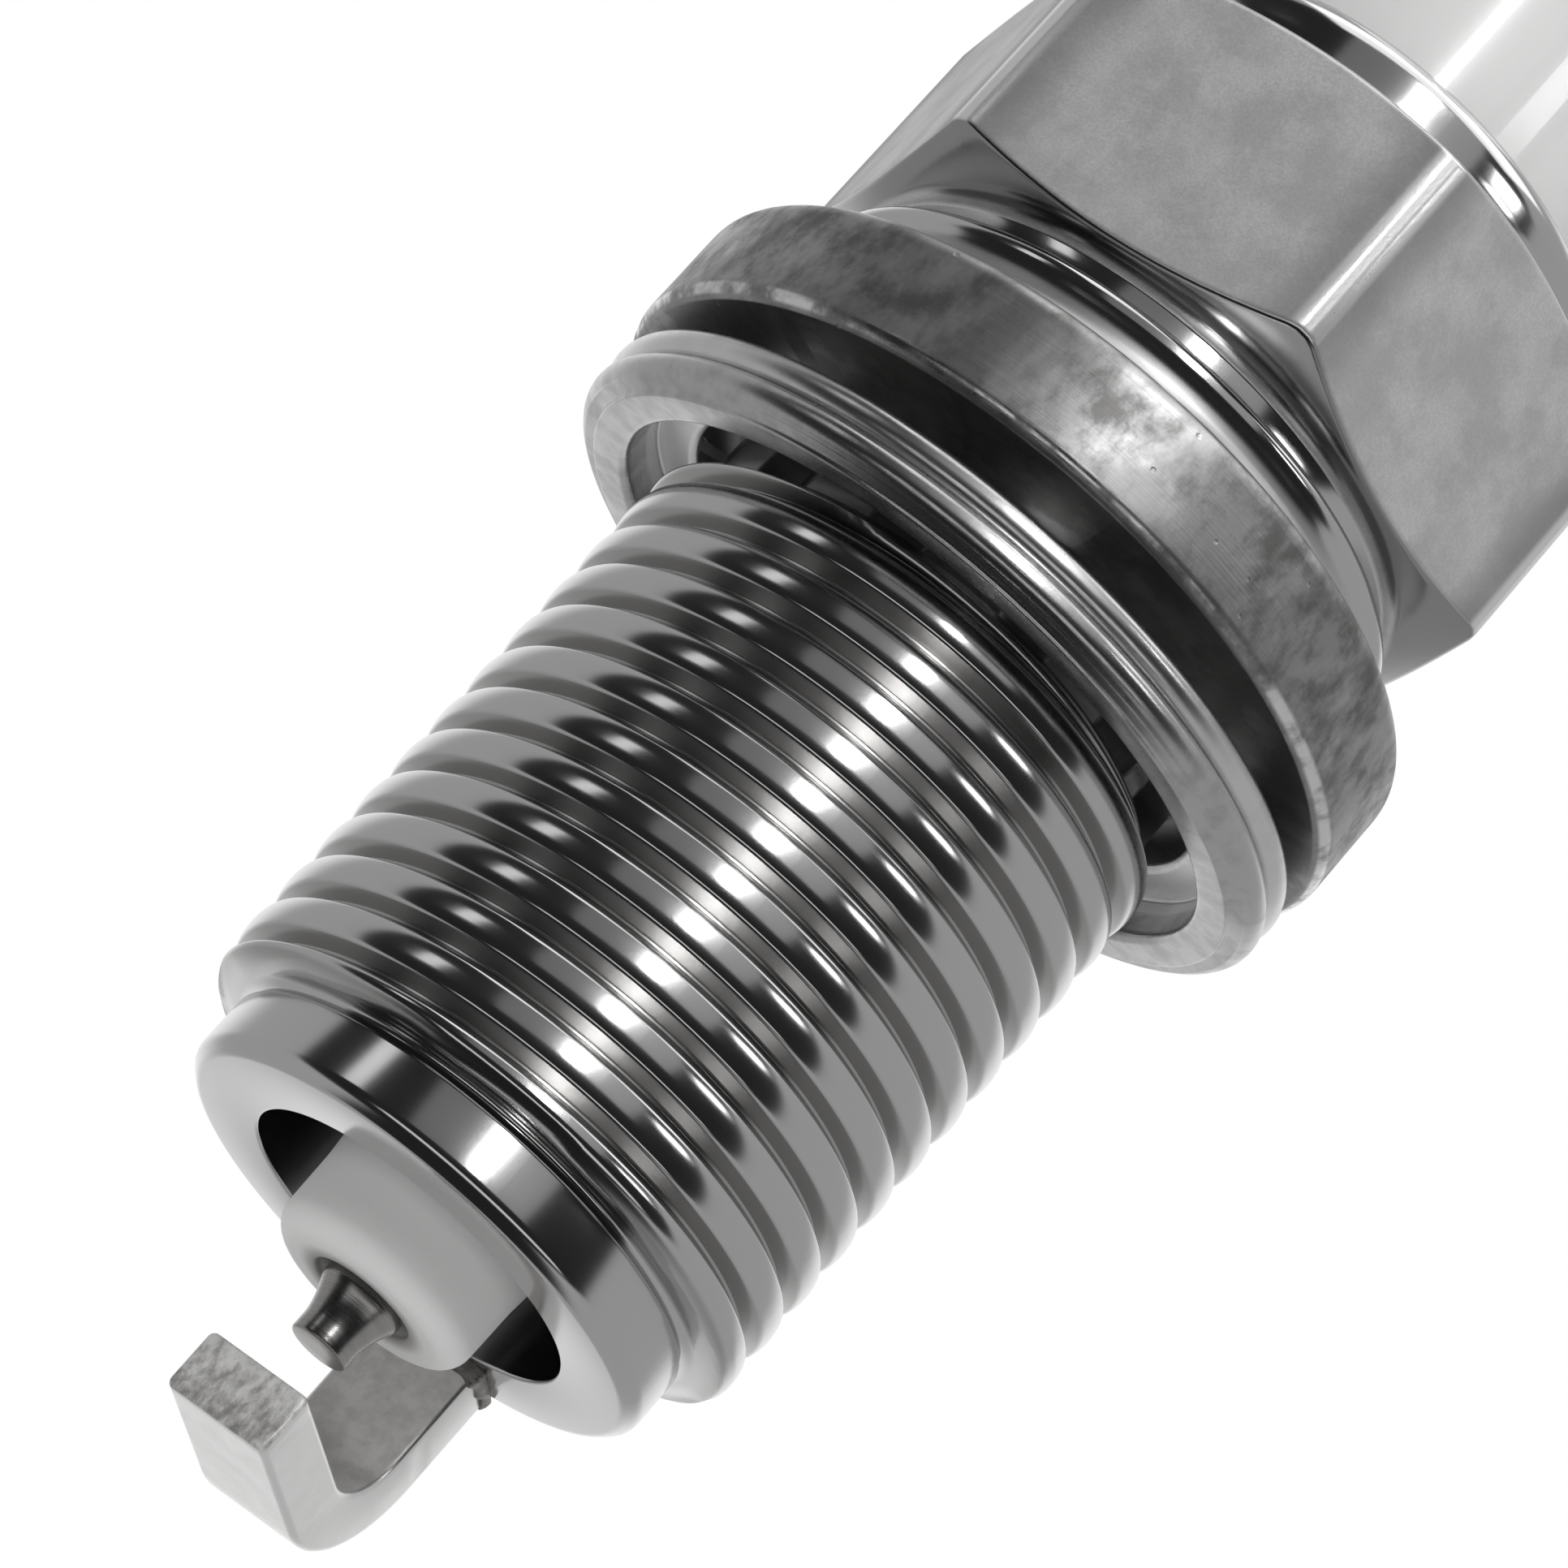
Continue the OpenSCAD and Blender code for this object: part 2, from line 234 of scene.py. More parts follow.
# %% Shell columns
COLUMN_STEP, CORNER_SIDES = 2.5, (0.4, 0.75, 1.1, 2.2)
corner_angles = [HEX_TURN + 60 * k for k in range(6)]
shell_angles = [HEX_TURN + COLUMN_STEP * k for k in range(round(360 / COLUMN_STEP))]
for corner in corner_angles:
    shell_angles += [corner + side for side in CORNER_SIDES]
    shell_angles += [corner - side for side in CORNER_SIDES]
shell_angles = sorted({round(a % 360, 4) for a in shell_angles})
print("shell columns", len(shell_angles))


def hexagon_radius(angle):
    """Distance to the hexagon's wall, with each corner rounded a little."""
    off = abs((angle - HEX_TURN + 30) % 60 - 30)
    turn = math.radians(30 - off)
    round_off = HEX_ROUND * max(0.0, 1 - off / HEX_ROUND_ANGLE) ** 2
    return HEX_FLAT_R / math.cos(turn) - round_off


def shell_outline(angle):
    """Outline of the shell above the thread and back down its bore, at one angle."""
    wall = hexagon_radius(angle)
    rise = (wall - HEX_FOOT_R) * HEX_CUT / (HEX_CORNER_R - HEX_FOOT_R)
    foot = [(RELIEF_R, THREAD_TOP), (RELIEF_R, 0, 0.2), (collar_r - COLLAR_CHAMFER, 0, 0.06)]
    foot += [(collar_r, COLLAR_EDGE, 0.12), (collar_r, COLLAR_WALL)]
    neck = arc(collar_r - SHOULDER, SHOULDER_Z, SHOULDER, 0, 75, 7)
    neck += arc(FILLET_R, FILLET_Z, FILLET, 265, 188, 9) + arc(BEAD_R, BEAD_Z, BEAD, -40, 90, 9)
    neck += [(GROOVE_R, GROOVE_Z, 0.08), (GROOVE_R, GROOVE_TOP, 0.08)]
    neck += [(GROOVE_R + 0.25, HEX_Z - 0.03), (HEX_FOOT_R, HEX_Z + 0.02, 0.07)]
    head = [(wall, HEX_Z + rise, 0.14), (wall, (HEX_Z + HEX_TOP) / 2), (wall, HEX_TOP - rise, 0.14)]
    head += [(HEX_FOOT_R, HEX_TOP, 0.12), (LIP_R + 0.1, HEX_TOP, 0.08)]
    lip = [(LIP_R, LIP_FOOT), (LIP_R, LIP_WALL)]
    lip += arc(LIP_R - LIP_ROUND, shell_top - LIP_ROUND, LIP_ROUND, 0, 80, 8)
    lip += [(BARREL_R + BARREL_GAP, shell_top, 0.1), (BARREL_R + BARREL_GAP, CHAMBER_TOP)]
    inside = [(CHAMBER_R, CHAMBER_TOP), (CHAMBER_R, CHAMBER_FOOT), (BORE_R, BORE_TOP)]
    inside += [(BORE_R, BORE_FOOT), (MOUTH_R, MOUTH_TOP), (MOUTH_R, MOUTH_MIDDLE)]
    nose = [(MOUTH_R, face_z, 0.08), (NOSE_R - 0.28, face_z, 0.1), (NOSE_R, face_z + 0.26, 0.14)]
    nose += [(NOSE_R, NOSE_MIDDLE), (NOSE_R, NOSE_TOP, 0.06), (UNDERCUT_R, UNDERCUT_Z, 0.06)]
    nose += [(UNDERCUT_R, THREAD_END - 0.02), (RELIEF_R, THREAD_END)]
    return soften(foot + neck + head + lip + inside + nose)


print("outline points at each angle", len(shell_outline(0)))


# %% Shell thread
CREST_HALF, ROOT_HALF, CROWN, CREST_ROWS = 0.37, 0.04, 0.42, (-0.22, -0.11, 0.0, 0.11, 0.22)
RUN_IN, FIRST_RISE, RUN_OUT = 0.32, 0.1, 0.5
half_pitch = THREAD_PITCH / 2
crest = [(dz, THREAD_R - CROWN * dz * dz) for dz in CREST_ROWS]
edge_r = THREAD_R - CROWN * CREST_HALF ** 2
lower = [(-half_pitch, ROOT_R), (ROOT_HALF - half_pitch, ROOT_R, 0.05), (-CREST_HALF, edge_r, 0.13)]
lower = soften(lower + [crest[0]], 4)
thread_form = lower + crest[1:-1] + [(-dz, r) for dz, r in reversed(lower)][:-1]
thread_limit = [(THREAD_END, RELIEF_R), (THREAD_END + FIRST_RISE, THREAD_R - 0.14)]
thread_limit += [(THREAD_END + RUN_IN, THREAD_R), (THREAD_TOP - RUN_OUT, THREAD_R)]
thread_limit += [(THREAD_TOP, RELIEF_R)]
thread_rows = thread_columns(
    [math.radians(a) for a in shell_angles], THREAD_END, THREAD_TOP, THREAD_PITCH,
    thread_form, lambda z: ramp(z, thread_limit), CREST_Z,
)
print("thread rows", len(thread_rows[0]), "in", len(thread_rows), "columns")

# %% Shell skin
shell_points, shell_faces = [], []
upper_rows = [shell_outline(a) for a in shell_angles]
for rows in (upper_rows, thread_rows):
    first, height = len(shell_points), len(rows[0])
    for angle, column in zip(shell_angles, rows):
        turn = math.radians(angle)
        shell_points += [(r * math.cos(turn), r * math.sin(turn), z) for r, z in column]
    around = rows is upper_rows
    shell_faces += sheet_faces(len(rows), height, first, around=around)
shell_faces += lead_seam(len(thread_rows), len(thread_rows[0]), first, len(thread_form))
shell_skin = finish_mesh("shell_steel", shell_points, shell_faces)
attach(shell_skin, "plug_body")
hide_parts("shell")

# %% [markdown]
# ## The crush gasket
#
# The washer is a strip of thin steel folded into a flat coil, so from outside it shows two
# round rolls with a dark seam between them and a thin lip underneath. Folding a real strip
# would take a simulation, so one closed outline with that shape is turned instead. It is
# modelled lying flat, then tipped about its hinge, so it starts where the CAD has it.

# %% Gasket ring
ROLL, ROLL_R, UPPER_ROLL_Z, LOWER_ROLL_Z = 0.375, 9.075, -0.375, -1.075
SEAM_R, SEAM_TOP, SEAM_FOOT = 8.93, -0.722, -0.73
TAIL_FOOT, TAIL_OUTER_R, TAIL_INNER_R = -1.6, 8.85, 8.05
WALL_R, TONGUE_R, TONGUE_FOOT, TONGUE_TOP = 7.95, 6.9, -0.42, -0.15
gasket_outline = arc(ROLL_R, UPPER_ROLL_Z, ROLL, 90, -66, 10)
gasket_outline += [(SEAM_R, SEAM_TOP), (SEAM_R, SEAM_FOOT)]
gasket_outline += arc(ROLL_R, LOWER_ROLL_Z, ROLL, 66, -72, 10)
tail = [(9.19, -1.44), (8.9, -1.45), (TAIL_OUTER_R, TAIL_FOOT, 0.06)]
tail += [(TAIL_INNER_R, TAIL_FOOT, 0.1), (WALL_R, -1.42, 0.1), (WALL_R, -0.45, 0.1)]
tongue = [(TONGUE_R + 0.15, TONGUE_FOOT, 0.08), (TONGUE_R, -0.28, 0.08)]
tongue += [(TONGUE_R + 0.15, TONGUE_TOP, 0.08), (7.9, TONGUE_TOP, 0.05)]
gasket_outline += soften(tail + tongue + [(8.0, -0.03, 0.08), (9.05, 0)], 4)
gasket_ring = turned("crush_gasket", gasket_outline, 240)

# %% Gasket tip
GASKET_DROP = 1.1
gasket_tip = math.asin(GASKET_DROP / (2 * ROLL_R))
swing = joints["gasket_swing"]
pivot, hinge = Vector(swing["pos_m"]), Vector(swing["axis"])


def tipped(angle):
    """The turn about the gasket's hinge by one angle."""
    return Matrix.Translation(pivot) @ Matrix.Rotation(angle, 4, hinge) @ Matrix.Translation(-pivot)


gasket_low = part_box("gasket")[0][2]
tip = min(
    (tipped(sign * gasket_tip) for sign in (1, -1)),
    key=lambda turn: abs(min((turn @ v.co).z for v in gasket_ring.data.vertices) - gasket_low),
)
gasket_ring.data.transform(tip)
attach(gasket_ring, "gasket_ring")
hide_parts("gasket")
print("gasket low side", round(gasket_low / MM, 3))

# %% [markdown]
# ## The earth strap and its weld
#
# The strap is a nickel bar, resistance welded to the nose and bent over the gap. A rounded
# rectangle is carried along the bend, ring by ring. A Curve object with a bevel could do the
# same, but its end would be flat. The free end is sheared, which leaves a slightly dished,
# rough face, so a few smaller rings close it here.

# %% Earth strap
strap_low, strap_high = box_mm("ground_electrode")
STRAP_T, STRAP_BEND = 1.5, 1.7
strap_half = (strap_high.x - strap_low.x) / 2
leg_mid = strap_high.y - STRAP_T / 2
bar_mid = strap_low.z + STRAP_T / 2
bend_mid_r = STRAP_BEND + STRAP_T / 2


def bar_section(shrink=0.0, corner=0.16, steps=4):
    """Points round the strap's section, across its width and through its thickness."""
    w, t = strap_half - shrink, STRAP_T / 2 - shrink
    points = []
    for sx, st, turn in ((1, 1, 0), (-1, 1, 90), (-1, -1, 180), (1, -1, 270)):
        for k in range(steps + 1):
            a = math.radians(turn + 90 * k / steps)
            x = sx * (w - corner) + corner * math.cos(a)
            points.append((x, st * (t - corner) + corner * math.sin(a)))
    return points


print("strap", round(2 * strap_half, 3), "by", STRAP_T, "bent at", STRAP_BEND)

# %% Strap path
LEG_RINGS, LEG_STEP, BEND_STEPS = 7, 0.35, 16
strap_path = [(leg_mid, face_z - 0.02 - LEG_STEP * k, 0) for k in range(LEG_RINGS)]
bend_y, bend_z = leg_mid - bend_mid_r, bar_mid + bend_mid_r
for k in range(BEND_STEPS + 1):
    a = math.radians(90 * k / BEND_STEPS)
    strap_path.append((bend_y + bend_mid_r * math.cos(a), bend_z - bend_mid_r * math.sin(a), a))
free_end = strap_low.y
for y in (1.6, 0.8, 0.0, -0.8, free_end + 0.35, free_end + 0.12, free_end + 0.03, free_end):
    strap_path.append((y, bar_mid, math.pi / 2))
print("strap rings", len(strap_path), "free end at", round(free_end, 3))

# %% Strap skin
END_SHRINK, NEXT_SHRINK, INNER_RING_STEP = 0.075, 0.02, 0.16
strap_points, section_size = [], len(bar_section())
for index, (y, z, a) in enumerate(strap_path):
    from_end = len(strap_path) - 1 - index
    shrink = {0: END_SHRINK, 1: NEXT_SHRINK}.get(from_end, 0.0)
    for across, through in bar_section(shrink):
        ragged = 0.02 * noise.noise((across * 3, through * 3, index)) if from_end < 2 else 0
        strap_points.append(
            (across, y + through * math.cos(a) + abs(ragged), z - through * math.sin(a))
        )
strap_faces = sheet_faces(len(strap_path), section_size, around=False, along=True)
end_first = len(strap_points) - section_size
for ring in range(1, 4):
    for across, through in bar_section(END_SHRINK + INNER_RING_STEP * ring, 0.1):
        rough = 0.03 * noise.noise((across * 2.5, through * 2.5, 7.1))
        strap_points.append((across, free_end + 0.012 * ring + abs(rough), bar_mid - through))
    base = end_first + section_size * (ring - 1)
    for j in range(section_size):
        k = (j + 1) % section_size
        strap_faces.append((base + j, base + k, base + section_size + k, base + section_size + j))
strap_faces.append(tuple(range(len(strap_points) - section_size, len(strap_points))))
strap_faces.append(tuple(reversed(range(section_size))))
strap = finish_mesh("earth_strap", strap_points, strap_faces)
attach(strap, "plug_body")
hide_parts("ground_electrode")

# %% [markdown]
# ## The weld flash
#
# Metal squeezed out when the strap's foot sank into the hot nose: a low bead that goes right
# round the foot. A row of lumps could be scattered there, but real flash is one lumpy rope,
# so a small ring of points is carried round the foot and noise swells it as it goes.

# %% Path round the strap's foot
FLASH_STEP, FLASH_SIDES = 0.1, 12
foot, corners = [], bar_section(0.0, 0.2, 8)
for here, ahead in zip(corners, corners[1:] + corners[:1]):
    parts = max(1, round(math.dist(here, ahead) / FLASH_STEP))
    foot += [tuple(a + (b - a) * k / parts for a, b in zip(here, ahead)) for k in range(parts)]
print("weld flash rings", len(foot))

# %% Weld flash
FLASH_THIN, FLASH_LUMP, FLASH_RIPPLE, FLASH_SAG = 0.06, 0.17, 0.05, 0.4
weld_low = box_mm("ground_weld")[0]
flash_points = []
for across, through in foot:
    lump = 0.5 + 0.5 * noise.noise((across * 2.6, through * 2.6, 3.3))
    out = Vector((across / strap_half, through / (STRAP_T / 2))).normalized()
    for k in range(FLASH_SIDES):
        a = math.tau * k / FLASH_SIDES
        ripple = FLASH_RIPPLE * noise.noise((across * 5, through * 5, math.cos(a)))
        swell = FLASH_THIN + FLASH_LUMP * lump + ripple
        x = across + out.x * (0.02 + swell * math.cos(a))
        y = leg_mid + through + out.y * (0.02 + swell * math.cos(a))
        z = face_z - 0.05 + (0.1 if math.sin(a) > 0 else 0.1 + FLASH_SAG * lump) * math.sin(a)
        keep = min(1.0, (NOSE_R - 0.03) / math.hypot(x, y))
        flash_points.append((x * keep, max(y * keep, weld_low.y), z))
flash = finish_mesh("weld_flash", flash_points, sheet_faces(len(foot), FLASH_SIDES, along=True))
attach(flash, "plug_body")
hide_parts("ground_weld")

# %% [markdown]
# ## The ceramic
#
# The insulator is one alumina body: matt at the firing nose, glazed and ribbed above the
# shell, with a softened shoulder under the terminal. The ribs lengthen the path that a spark
# would take over the surface. They are ground as soft waves, so a raised cosine draws them
# better than arcs joined by straight lines.

# %% Nose and body of the ceramic
TIP_BORE_R, TIP_R, TIP_ROUND = 1.24, 1.9, 0.6
CERAMIC_BODY_R, BODY_FOOT, BODY_TOP = 4.75, -4.8, 4.3
FLANGE_R, FLANGE_FOOT, FLANGE_TOP = 5.95, 5.3, 10.3
ceramic_low, ceramic_high = box_mm("insulator")
tip_z, ceramic_top = ceramic_low.z, ceramic_high.z
ceramic_outline = soften([(1.22, tip_z + 0.4), (TIP_BORE_R, tip_z, 0.1), (1.75, tip_z)])
ceramic_outline += arc(TIP_R, tip_z + TIP_ROUND, TIP_ROUND, -90, 0, 9) + [(2.52, tip_z + 1.9)]
ceramic_outline += [(3.5, -6.6), (3.95, -5.5), (CERAMIC_BODY_R, BODY_FOOT)]
ceramic_outline += [(CERAMIC_BODY_R, BODY_TOP), (FLANGE_R, FLANGE_FOOT), (FLANGE_R, FLANGE_TOP)]
ceramic_outline += [(BARREL_R, FLANGE_TOP), (BARREL_R, 13.6), (BARREL_R, 18.0)]
print("ceramic from", round(tip_z, 2), "to", round(ceramic_top, 2))

# %% Ribs and head of the ceramic
RIB_BOTTOM, RIB_PITCH, RIB_COUNT, RIB_DEPTH, RIB_STEPS = 22.0, 2.6, 5, 0.7, 16
RIB_BLUNT, STUD_HOLE_R = 0.8, 2.32
for i in range(RIB_COUNT):
    for s in range(RIB_STEPS):
        dip = RIB_DEPTH * (0.5 - 0.5 * math.cos(math.tau * s / RIB_STEPS)) ** RIB_BLUNT
        ceramic_outline.append((BARREL_R - dip, RIB_BOTTOM + (i + s / RIB_STEPS) * RIB_PITCH))
rib_top = RIB_BOTTOM + RIB_COUNT * RIB_PITCH
ceramic_outline += soften(
    [(BARREL_R, rib_top), (BARREL_R, rib_top + 1.5, 0.9), (BARREL_R - 0.9, ceramic_top - 0.5)], 8
)
ceramic_outline += arc(BARREL_R - 1.4, ceramic_top - 0.5, 0.5, 10, 90, 7)
ceramic_outline += [(STUD_HOLE_R, ceramic_top), (STUD_HOLE_R, ceramic_top - 1.2)]
ceramic = turned("ceramic_body", ceramic_outline)
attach(ceramic, "plug_body")
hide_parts("insulator")

# %% [markdown]
# ## The centre electrode
#
# A nickel rod fills the bore of the ceramic and is turned down to a fine end, with a waist
# that flares at the root. It stops short of the bore at the mouth, where the ceramic ends in
# a small dark gap. It is one more turned part, closed on the axis at both ends.

# %% Centre electrode
electrode_tip = box_mm("centre_electrode")[0].z
FINE_R, FINE_TOP, TIP_MIDDLE_R = 0.715, -21.6, 0.3
FLARE_R, FLARE_FOOT, FLARE_TALL, FLARE_STEPS = 0.98, -21.45, 0.85, 8
NECK_R, NECK_FOOT, NECK_TOP = 1.0, -20.5, -20.15
ROD_R, ROD_FOOT, ROD_TOP = 1.2, -20.1, -8.0
fine_end = [(TIP_MIDDLE_R, electrode_tip), (FINE_R, electrode_tip, 0.07), (FINE_R, FINE_TOP)]
electrode_outline = [(0, electrode_tip)] + soften(fine_end)
for k in range(FLARE_STEPS + 1):
    t = k / FLARE_STEPS
    flare = FINE_R + (FLARE_R - FINE_R) * (0.3 * t + 0.7 * t ** 2.0)
    electrode_outline.append((flare, FLARE_FOOT + FLARE_TALL * t))
electrode_outline += [(NECK_R, NECK_FOOT), (NECK_R, NECK_TOP)]
electrode_outline += [(ROD_R, ROD_FOOT), (ROD_R, ROD_TOP), (0, ROD_TOP)]
electrode = turned("centre_electrode_tip", electrode_outline, 128, closed=False)
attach(electrode, "plug_body")
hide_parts("centre_electrode")

# %% [markdown]
# ## The terminal stud
#
# A threaded stud stands in the ceramic and carries the nut. Its thread is only seen once the
# nut is taken off, so rings would nearly do, but the helix helper is there already and needs
# only a finer pitch.

# %% Stud thread
stud_high = box_mm("terminal_stud")[1]
nut_low, nut_high = box_mm("terminal_nut")
STUD_COLUMNS, STUD_PITCH, STUD_R, STUD_ROOT = 96, 0.7, 2.0, 1.62
STUD_CREST_R, STUD_END_R, SHANK_R, SHANK_FOOT = 1.97, 1.6, 2.1, 38.0
stud_angles = [math.tau * k / STUD_COLUMNS for k in range(STUD_COLUMNS)]
stud_form = [(-0.35, STUD_ROOT), (-0.28, STUD_ROOT), (-0.06, STUD_CREST_R), (0, STUD_R)]
stud_form += [(0.06, STUD_CREST_R), (0.28, STUD_ROOT)]
thread_foot, stud_end = nut_low.z + 0.2, stud_high.z
stud_limit = [(thread_foot, STUD_ROOT), (thread_foot + 0.4, STUD_R)]
stud_limit += [(stud_end - 0.45, STUD_R), (stud_end, STUD_END_R)]
stud_rows = thread_columns(
    stud_angles, thread_foot, stud_end, STUD_PITCH, stud_form,
    lambda z: ramp(z, stud_limit), thread_foot,
)
print("stud thread rows", len(stud_rows[0]), "in", STUD_COLUMNS, "columns")

# %% Stud skin
flange_r = stud_high.x
shank = [(0, SHANK_FOOT), (SHANK_R, SHANK_FOOT), (SHANK_R, ceramic_top - 0.02)]
flange = [(flange_r, ceramic_top, 0.1), (flange_r, nut_low.z, 0.12), (STUD_ROOT, nut_low.z, 0.06)]
stud_base = soften(shank + flange + [(STUD_ROOT, thread_foot)])
stud_end_face = [(STUD_END_R, stud_end), (0, stud_end)]
stud_points, stud_faces = [], []
for rows in ([stud_base] * STUD_COLUMNS, stud_rows, [stud_end_face] * STUD_COLUMNS):
    first, height, threaded = len(stud_points), len(rows[0]), rows is stud_rows
    for turn, column in zip(stud_angles, rows):
        stud_points += [(r * math.cos(turn), r * math.sin(turn), z) for r, z in column]
    stud_faces += sheet_faces(STUD_COLUMNS, height, first, around=not threaded)
    if threaded:
        stud_faces += lead_seam(STUD_COLUMNS, height, first, len(stud_form))
stud = finish_mesh("terminal_post", stud_points, stud_faces)
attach(stud, "plug_body")
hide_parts("terminal_stud")

# %% [markdown]
# ## The push-on nut
#
# The nut is turned from bar: a foot, a waist and a domed head. The waist is where the
# connector's spring clicks in, so it is drawn as one smooth dip and not as a square groove.
# It rides a body of its own, because it comes off the stud. A screw motion is stood in for
# by a slide, so the nut's bore stays plain.

# %% Terminal nut
nut_r = nut_high.x
nut_z, nut_top = nut_low.z, nut_high.z
WAIST_DIP, WAIST_FOOT, WAIST_HEIGHT, WAIST_STEPS = 0.45, 2.2, 2.8, 16
NUT_BORE_R, NUT_MOUTH_R, BORE_ABOVE_STUD, NUT_CHAMFER, NUT_DOME = 2.05, 2.3, 0.3, 0.2, 0.6
nut_foot = [(NUT_BORE_R, nut_z + 0.3), (NUT_MOUTH_R, nut_z, 0.05), (nut_r - NUT_CHAMFER, nut_z, 0.08)]
nut_outline = soften(nut_foot + [(nut_r, nut_z + NUT_CHAMFER, 0.1), (nut_r, nut_z + 1.2)])
for s in range(WAIST_STEPS + 1):
    dip = WAIST_DIP * (0.5 - 0.5 * math.cos(math.tau * s / WAIST_STEPS))
    nut_outline.append((nut_r - dip, nut_z + WAIST_FOOT + WAIST_HEIGHT * s / WAIST_STEPS))
nut_outline += [(nut_r, nut_z + 6.2)]
nut_outline += arc(nut_r - NUT_DOME, nut_top - NUT_DOME, NUT_DOME, 0, 90, 8)
nut_outline += [(1.2, nut_top), (0, nut_top)]
bore_end = stud_end + BORE_ABOVE_STUD
nut_outline = [(0, bore_end), (NUT_BORE_R, bore_end)] + nut_outline
nut = turned("push_on_nut", nut_outline, 128, closed=False)
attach(nut, "nut")
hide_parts("terminal_nut")

# %% [markdown]
# ## Finishes
#
# A finish is a small graph of nodes. `Socket` lets the graph be written as ordinary sums,
# and `Finish` makes every other node from its type, its settings and its inputs. All the
# patterns are made in millimetres on the part itself, so they stay put when it moves.

# %% Sums on sockets
class Socket:
    """An output socket that takes part in Python arithmetic."""

    def __init__(self, finish, output):
        self.finish, self.output = finish, output

    def _sum(self, operation, a, b):
        return self.finish.node("ShaderNodeMath", {"operation": operation}, {0: a, 1: b})

    def __add__(self, other): return self._sum("ADD", self, other)
    def __radd__(self, other): return self._sum("ADD", other, self)
    def __sub__(self, other): return self._sum("SUBTRACT", self, other)
    def __rsub__(self, other): return self._sum("SUBTRACT", other, self)
    def __mul__(self, other): return self._sum("MULTIPLY", self, other)
    def __rmul__(self, other): return self._sum("MULTIPLY", other, self)


print("sums that a socket can do: +, - and *")


# %% Finish helper
class Finish:
    """The node tree of a new material, or of a world that is handed in."""

    def __init__(self, name, owner=None):
        self.owner = owner or bpy.data.materials.new(name)
        self.owner.use_nodes = True
        self.tree = self.owner.node_tree
        self.tree.nodes.clear()

    def node(self, kind, settings=None, inputs=None, output=0):
        """Makes a node: settings first, then values or links for its sockets."""
        made = self.tree.nodes.new(kind)
        for key, value in (settings or {}).items():
            setattr(made, key, value)
        for key, value in (inputs or {}).items():
            if isinstance(value, Socket):
                self.tree.links.new(value.output, made.inputs[key])
            else:
                made.inputs[key].default_value = value
        return Socket(self, made.outputs[output]) if len(made.outputs) else None

    def place(self):
        """Position on the piece in millimetres, as a vector."""
        here = self.node("ShaderNodeTexCoord", output="Object")
        return self.node("ShaderNodeVectorMath", {"operation": "SCALE"}, {0: here, "Scale": 1 / MM})

    def part(self, vector, axis):
        """One component of a vector: 0, 1 or 2."""
        return self.node("ShaderNodeSeparateXYZ", {}, {0: vector}, output=axis)

    def from_axis(self, vector):
        """Distance from the plug's axis."""
        flat = self.node("ShaderNodeVectorMath", {"operation": "MULTIPLY"}, {0: vector, 1: (1, 1, 0)})
        return self.node("ShaderNodeVectorMath", {"operation": "LENGTH"}, {0: flat}, output=1)

    def along(self, vector, direction):
        """How far a vector reaches along a unit direction."""
        values = {0: vector, 1: tuple(direction)}
        return self.node("ShaderNodeVectorMath", {"operation": "DOT_PRODUCT"}, values, output=1)

    def clouds(self, vector, scale, detail=3.0, rough=0.55, stretch=None):
        """Soft noise from 0 to 1, with an optional stretch of the space it lies in."""
        if stretch:
            scaled = {0: vector, 1: stretch}
            vector = self.node("ShaderNodeVectorMath", {"operation": "MULTIPLY"}, scaled)
        values = {"Vector": vector, "Scale": scale, "Detail": detail, "Roughness": rough}
        return self.node("ShaderNodeTexNoise", {}, values)

    def step(self, value, low, high):
        """0 below low, 1 above high, smooth between; runs down if low is above high."""
        down = low > high
        edges = {"Value": value, "From Min": min(low, high), "From Max": max(low, high)}
        edges.update({"To Min": 1.0 if down else 0.0, "To Max": 0.0 if down else 1.0})
        return self.node("ShaderNodeMapRange", {"interpolation_type": "SMOOTHSTEP"}, edges)

    def blend(self, factor, first, second):
        """A colour between two colours."""
        values = {0: factor, 6: first, 7: second}
        return self.node("ShaderNodeMix", {"data_type": "RGBA"}, values, output=2)

    def bump(self, height, depth_mm):
        """Fine relief, for what is too small to model."""
        values = {"Height": height, "Strength": 1.0, "Distance": depth_mm * MM}
        return self.node("ShaderNodeBump", {}, values)

    def surface(self, **sockets):
        """The finished surface, from the main shader's own sockets."""
        names = {key: key.replace("_", " ").title() for key in sockets}
        names.update({key: "IOR" for key in sockets if key == "ior"})
        shader = self.node("ShaderNodeBsdfPrincipled", {}, {names[k]: v for k, v in sockets.items()})
        self.node("ShaderNodeOutputMaterial", {}, {"Surface": shader})
        print(self.owner.name, "has", len(self.tree.nodes), "nodes")
        return self.owner


# %% Greys
def grey(level, warm=0.0):
    """A neutral colour, warmed a little if asked."""
    return (level * (1 + warm), level, level * (1 - warm), 1.0)


print("a warm middle grey", [round(c, 3) for c in grey(0.5, 0.02)])

# %% [markdown]
# ### Nickel plating
#
# The shell is one piece of plated steel, but each zone was worked another way. The hexagon
# keeps the grain of the forming dies, the collar's wall is dull and stained, and the bead,
# thread and nose come bright from the rolls. Separate materials would meet in hard lines, so
# one material is used, and masks by height and by radius choose between the zones.

